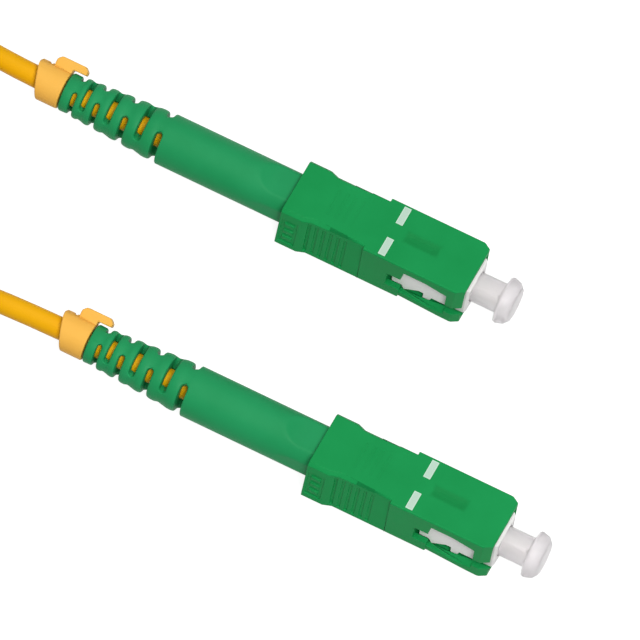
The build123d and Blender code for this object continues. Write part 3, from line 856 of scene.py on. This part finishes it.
def thickened(tree, outer, axes):
    """A closed wall: the outer skin, its copy on the bore, and the strips that join them."""
    pushed = add_node(tree, "GeometryNodeExtrudeMesh", {"mode": "FACES"}, Mesh=outer, Offset_Scale=0.0)
    pushed.inputs["Individual"].default_value = False
    unit = vector_node(tree, "NORMALIZE", vector_of(tree, y=axes["Y"], z=axes["Z"]))
    bore = read_attribute(tree, "bore")
    arm = add_node(tree, "ShaderNodeVectorMath", {"operation": "SCALE"}, Vector=unit, Scale=bore)
    inner_place = vector_node(tree, "ADD", vector_of(tree, x=axes["X"]), arm.outputs["Vector"])
    sunk = add_node(tree, "GeometryNodeSetPosition", Geometry=pushed.outputs["Mesh"],
                    Selection=pushed.outputs["Top"], Position=inner_place).outputs["Geometry"]
    turned = add_node(tree, "GeometryNodeFlipFaces", Mesh=sunk).outputs["Mesh"]
    joined = tree.nodes.new("GeometryNodeJoinGeometry")
    tree.links.new(turned, joined.inputs["Geometry"])
    tree.links.new(outer, joined.inputs["Geometry"])
    welded = add_node(tree, "GeometryNodeMergeByDistance", Geometry=joined.outputs["Geometry"],
                      Distance=weld_distance)
    return welded.outputs["Geometry"]


def make_boot_tree():
    tree, start, end = new_geometry_tree(
        "slotted_boot",
        {
            "Columns": ("NodeSocketInt", boot_columns),
            "Slot Half Angle": ("NodeSocketFloat", slot_half_angle),
            "Slot End Angle": ("NodeSocketFloat", slot_end_angle),
            "Slot End Pinch": ("NodeSocketFloat", slot_end_pinch),
            "Place": ("NodeSocketVector", (0.0, 0.0, 0.0)),
            "Material": ("NodeSocketMaterial", None),
        },
    )
    spine = add_node(tree, "GeometryNodeMeshToCurve", Mesh=start.outputs["Geometry"]).outputs["Curve"]
    ring = add_node(tree, "GeometryNodeCurvePrimitiveCircle", Resolution=start.outputs["Columns"], Radius=1.0)
    rolled = add_node(tree, "GeometryNodeCurveToMesh", Curve=spine, Profile_Curve=ring.outputs["Curve"],
                      Scale=read_attribute(tree, "outer")).outputs["Mesh"]
    place = add_node(tree, "GeometryNodeInputPosition").outputs["Position"]
    axes = add_node(tree, "ShaderNodeSeparateXYZ", Vector=place).outputs
    cut, lean = slot_rules(tree, axes, start)
    slotted = add_node(tree, "GeometryNodeDeleteGeometry", {"domain": "FACE", "mode": "ALL"}, Geometry=rolled,
                       Selection=cut).outputs["Geometry"]
    flattened = []
    for value, name in ((axes["Y"], "flat_y"), (axes["Z"], "flat_z")):
        reach = read_attribute(tree, name)
        flattened.append(limited(tree, value, math_node(tree, "MULTIPLY", reach, -1.0), reach))
    along = math_node(tree, "ADD", axes["X"], lean)
    outer = add_node(tree, "GeometryNodeSetPosition", Geometry=slotted,
                     Position=vector_of(tree, along, *flattened)).outputs["Geometry"]
    moved = add_node(tree, "GeometryNodeTransform", Geometry=thickened(tree, outer, axes),
                     Translation=start.outputs["Place"])
    finish_geometry(tree, moved.outputs["Geometry"], start, end)
    return tree


boot_tree = make_boot_tree()


# %% Growing the boots
def round_edges(mesh, radius, segments, angle):
    """Bevels a clean mesh and returns how many of its edges are left open."""
    form = bmesh.new()
    form.from_mesh(mesh)
    edges = [edge for edge in form.edges if edge.calc_face_angle(0.0) > angle]
    bevel_edges(form, edges, radius, segments)
    bmesh.ops.recalc_face_normals(form, faces=form.faces)
    open_edges = sum(1 for e in form.edges if len(e.link_faces) != 2)
    form.to_mesh(mesh)
    form.free()
    return open_edges


for end in plug_ends:
    front = front_and_axis(end)
    settings = {"Place": (0.0, front.y, front.z), "Material": boot_green}
    boot_mesh = grow(f"slotted_boot_{end}", make_spine(end), boot_tree, settings)
    gaps = round_edges(boot_mesh, boot_edge, boot_edge_segments, boot_corner_angle)
    boot_mesh = flat_faces_first(boot_mesh, boot_crease_angle)
    print("boot", end, "faces", len(boot_mesh.polygons), "open edges", gaps)
    new_piece(f"slotted_boot_{end}", boot_mesh, "cord_set", "boot_green", boot_green, f"boot_{end}")

# %% [markdown]
# ## The strength yarn
#
# Under the crimp sleeve lies a thin coat of aramid yarn, folded back over the barrel. It is many fine
# strands side by side with a slight twist, so a tree lays one strand along the axis, bends it on
# its way, and sets copies round the barrel, each with its own small turn from a fixed seed.

# %% Yarn strands
yarn_strands = 44
yarn_points = 14
yarn_sides = 6
yarn_thickness = 0.12 * mm
yarn_twist = 0.35
yarn_seed = 4


def make_yarn_tree():
    tree, start, end = new_geometry_tree(
        "yarn_strands",
        {
            "Strands": ("NodeSocketInt", yarn_strands),
            "Ring Radius": ("NodeSocketFloat", 2.0 * mm),
            "Strand Radius": ("NodeSocketFloat", yarn_thickness / 2),
            "Rear": ("NodeSocketVector", (0.0, 0.0, 0.0)),
            "Front": ("NodeSocketVector", (1.0, 0.0, 0.0)),
            "Twist": ("NodeSocketFloat", yarn_twist),
            "Seed": ("NodeSocketInt", yarn_seed),
            "Material": ("NodeSocketMaterial", None),
        },
    )
    line = add_node(tree, "GeometryNodeCurvePrimitiveLine", Start=start.outputs["Rear"],
                    End=start.outputs["Front"])
    strand = add_node(tree, "GeometryNodeResampleCurve", Curve=line.outputs["Curve"], Count=yarn_points)
    section = add_node(tree, "GeometryNodeCurvePrimitiveCircle", Resolution=yarn_sides,
                       Radius=start.outputs["Strand Radius"])
    count = start.outputs["Strands"]
    copies = add_node(tree, "GeometryNodePoints", Count=count).outputs[0]
    order = add_node(tree, "GeometryNodeInputIndex").outputs["Index"]
    jitter = add_node(tree, "FunctionNodeRandomValue", {"data_type": "FLOAT"}, Seed=start.outputs["Seed"])
    step = math_node(tree, "DIVIDE", math_node(tree, "ADD", order, jitter.outputs[1]), count)
    turn = math_node(tree, "MULTIPLY", step, 2 * math.pi)
    lift = vector_of(tree, z=start.outputs["Ring Radius"])
    place = add_node(tree, "GeometryNodeInputPosition").outputs["Position"]
    share = add_node(tree, "GeometryNodeSplineParameter").outputs["Factor"]
    sway = math_node(tree, "MULTIPLY", share, start.outputs["Twist"])
    raised = vector_node(tree, "ADD", place, lift)
    bent = add_node(tree, "ShaderNodeVectorRotate", {"rotation_type": "X_AXIS"}, Vector=raised, Angle=sway)
    shaped = add_node(tree, "GeometryNodeSetPosition", Geometry=strand.outputs["Curve"],
                      Position=bent.outputs["Vector"])
    solid = add_node(tree, "GeometryNodeCurveToMesh", Curve=shaped.outputs["Geometry"],
                     Profile_Curve=section.outputs["Curve"], Fill_Caps=True)
    laid = add_node(tree, "GeometryNodeInstanceOnPoints", Points=copies, Instance=solid.outputs["Mesh"],
                    Rotation=vector_of(tree, x=turn))
    finish_geometry(tree, laid.outputs["Instances"], start, end)
    return tree


yarn_tree = make_yarn_tree()
for end in plug_ends:
    low, high = (Vector(corner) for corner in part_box(f"strength_yarn_{end}"))
    axis = front_and_axis(end)
    outer_radius = (high.y - low.y) / 2
    settings = {
        "Ring Radius": outer_radius - yarn_thickness / 2,
        "Rear": (low.x, 0.0, 0.0),
        "Front": (high.x, 0.0, 0.0),
        "Material": aramid,
    }
    yarn_mesh = grow(f"yarn_strands_{end}", bpy.data.meshes.new("empty"), yarn_tree, settings)
    yarn_mesh.transform(Matrix.Translation((0, axis.y, axis.z)))
    yarn_mesh.shade_smooth()
    new_piece(f"yarn_strands_{end}", yarn_mesh, "cord_set", "aramid", aramid, f"strength_yarn_{end}")
    print("yarn", end, "faces", len(yarn_mesh.polygons))

# %% [markdown]
# ## The cord
#
# Both plugs hang on one metre of cable. What the picture doesn't show is wound up as a shop would wind
# it: a flat coil of two layers, spiralling in on the bottom and out again on top, so both ends leave
# from the outside. The whole cord is one smooth curve. The coil's turns come from a loop, and the two
# ends are a few control points each, in millimetres, from inside the boot to the coil.

# %% Cord route
cord_radius = 1.5 * mm
coil_centre = Vector((-72.5, 0, 0)) * mm
coil_outer = 22.5 * mm
coil_inner = 12.0 * mm
coil_turns = 3.5
points_per_turn = 24
layer_low = 1.5 * mm
layer_high = 4.5 * mm
near_plug_a = [(-40.6, 16.45, 4.65), (-52.1, 16.45, 4.65), (-62.1, 20.05, 2.4)]
near_plug_b = [(-20.6, -16.45, 4.65), (-34.6, -16.45, 4.65), (-47.6, -17.25, 2.3), (-60.6, -20.35, 2.2)]


def spiral(start_angle, turns, radius_from, radius_to, z_from, z_to):
    """Control points on a flat spiral, the last one left to the next stretch."""
    steps = round(turns * points_per_turn)
    swell = 1 / math.cos(math.pi / points_per_turn)
    places = []
    for step in range(steps):
        share = step / steps
        angle = start_angle + share * turns * 2 * math.pi
        radius = (radius_from + share * (radius_to - radius_from)) * swell
        height = z_from + share * (z_to - z_from)
        places.append(coil_centre + Vector((radius * math.cos(angle), radius * math.sin(angle), height)))
    return places


def cord_points():
    """In on the low layer, up over half a turn, and out on the high one."""
    north = math.pi / 2
    reached = north + coil_turns * 2 * math.pi
    inward = spiral(north, coil_turns, coil_outer, coil_inner, layer_low, layer_low)
    climb = spiral(reached, 0.5, coil_inner, coil_inner, layer_low, layer_high)
    outward = spiral(reached + math.pi, coil_turns, coil_inner, coil_outer, layer_high, layer_high)
    south = coil_centre + Vector((0, -coil_outer, layer_high))
    first = [Vector(point) * mm for point in near_plug_a]
    last = [Vector(point) * mm for point in reversed(near_plug_b)]
    return first + inward + climb + outward + [south] + last


# %% Cord curve
def make_cord():
    data = bpy.data.curves.new("patch_cord", "CURVE")
    data.dimensions = "3D"
    places = cord_points()
    line = data.splines.new("NURBS")
    line.points.add(len(places) - 1)
    for point, place in zip(line.points, places):
        point.co = (*place, 1.0)
    line.order_u = 3
    line.use_endpoint_u = True
    line.resolution_u = 6
    cord = bpy.data.objects.new("patch_cord", data)
    bpy.context.collection.objects.link(cord)
    bpy.context.view_layer.update()
    centreline = bpy.data.meshes.new_from_object(cord)
    places = [vertex.co.copy() for vertex in centreline.vertices]
    length = sum((after - before).length for before, after in zip(places, places[1:]))
    bpy.data.meshes.remove(centreline)
    data.bevel_depth = cord_radius
    data.bevel_resolution = 6
    data.materials.append(jacket_yellow)
    print("cord length", round(length, 4), "m")
    return cord, length


patch_cord, cord_length = make_cord()
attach(patch_cord, "cord_set")
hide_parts("cord_tube_a", "cord_tube_b", "cord_coil")

# %% [markdown]
# ## Stage and light
#
# Catalogue pictures stand on white. The floor is a pale sheet that looks white to the camera and still
# takes a soft shadow. The key lamp stands high on the camera's side, so it lights the tops about twice
# as much as the sides and still reaches into the side windows. A large lamp overhead softens it. Both
# lamps point at the middle of the set, and their places and sizes are in metres.

# %% Floor
floor_reach = 3.0
floor_grey = 0.35
floor_glow = 0.88


def seen_directly(tree):
    """1 for what the camera sees itself, in a reflection or through a clear part, and 0 for light."""
    path = add_node(tree, "ShaderNodeLightPath")
    mirrored = math_node(tree, "MAXIMUM", path.outputs["Is Camera Ray"], path.outputs["Is Glossy Ray"])
    return math_node(tree, "MAXIMUM", mirrored, path.outputs["Is Transmission Ray"])


def make_floor():
    mesh = bpy.data.meshes.new("floor")
    corners = [(x * floor_reach, y * floor_reach, 0) for x, y in ((-1, -1), (1, -1), (1, 1), (-1, 1))]
    mesh.from_pydata(corners, [], [(0, 1, 2, 3)])
    floor = bpy.data.objects.new("floor", mesh)
    bpy.context.collection.objects.link(floor)
    material, tree, shader = new_material("white_sheet")
    shader.inputs["Base Color"].default_value = (floor_grey, floor_grey, floor_grey, 1)
    shader.inputs["Roughness"].default_value = 0.9
    shader.inputs["Specular IOR Level"].default_value = 0.0
    shader.inputs["Emission Color"].default_value = (1, 1, 1, 1)
    glow = math_node(tree, "MULTIPLY", seen_directly(tree), floor_glow)
    tree.links.new(glow, shader.inputs["Emission Strength"])
    mesh.materials.append(material)


make_floor()

# %% Lamps
room_light = 0.28
lamp_aim = Vector((0, 0, 0))
key_place, key_size, key_watts = (0.32, -0.48, 0.83), 0.4, 6.1
overhead_place, overhead_size, overhead_watts = (0.0, 0.1, 1.0), 0.7, 2.2


def area_lamp(name, place, size, watts):
    """A round lamp that points at the middle of the set."""
    data = bpy.data.lights.new(name, "AREA")
    data.shape = "DISK"
    data.size = size
    data.energy = watts
    lamp = bpy.data.objects.new(name, data)
    bpy.context.collection.objects.link(lamp)
    lamp.location = place
    lamp.rotation_mode = "QUATERNION"
    lamp.rotation_quaternion = (lamp_aim - Vector(place)).to_track_quat("-Z", "Y")


def make_world():
    world = bpy.data.worlds.new("studio")
    world.use_nodes = True
    bpy.context.scene.world = world
    tree = world.node_tree
    background = tree.nodes["Background"]
    seen = seen_directly(tree)
    rest = math_node(tree, "MULTIPLY", math_node(tree, "SUBTRACT", 1.0, seen), room_light)
    tree.links.new(math_node(tree, "ADD", rest, seen), background.inputs["Strength"])
    background.inputs["Color"].default_value = (1, 1, 1, 1)


make_world()
area_lamp("key", key_place, key_size, key_watts)
area_lamp("overhead", overhead_place, overhead_size, overhead_watts)
bpy.context.scene.view_settings.view_transform = "Standard"
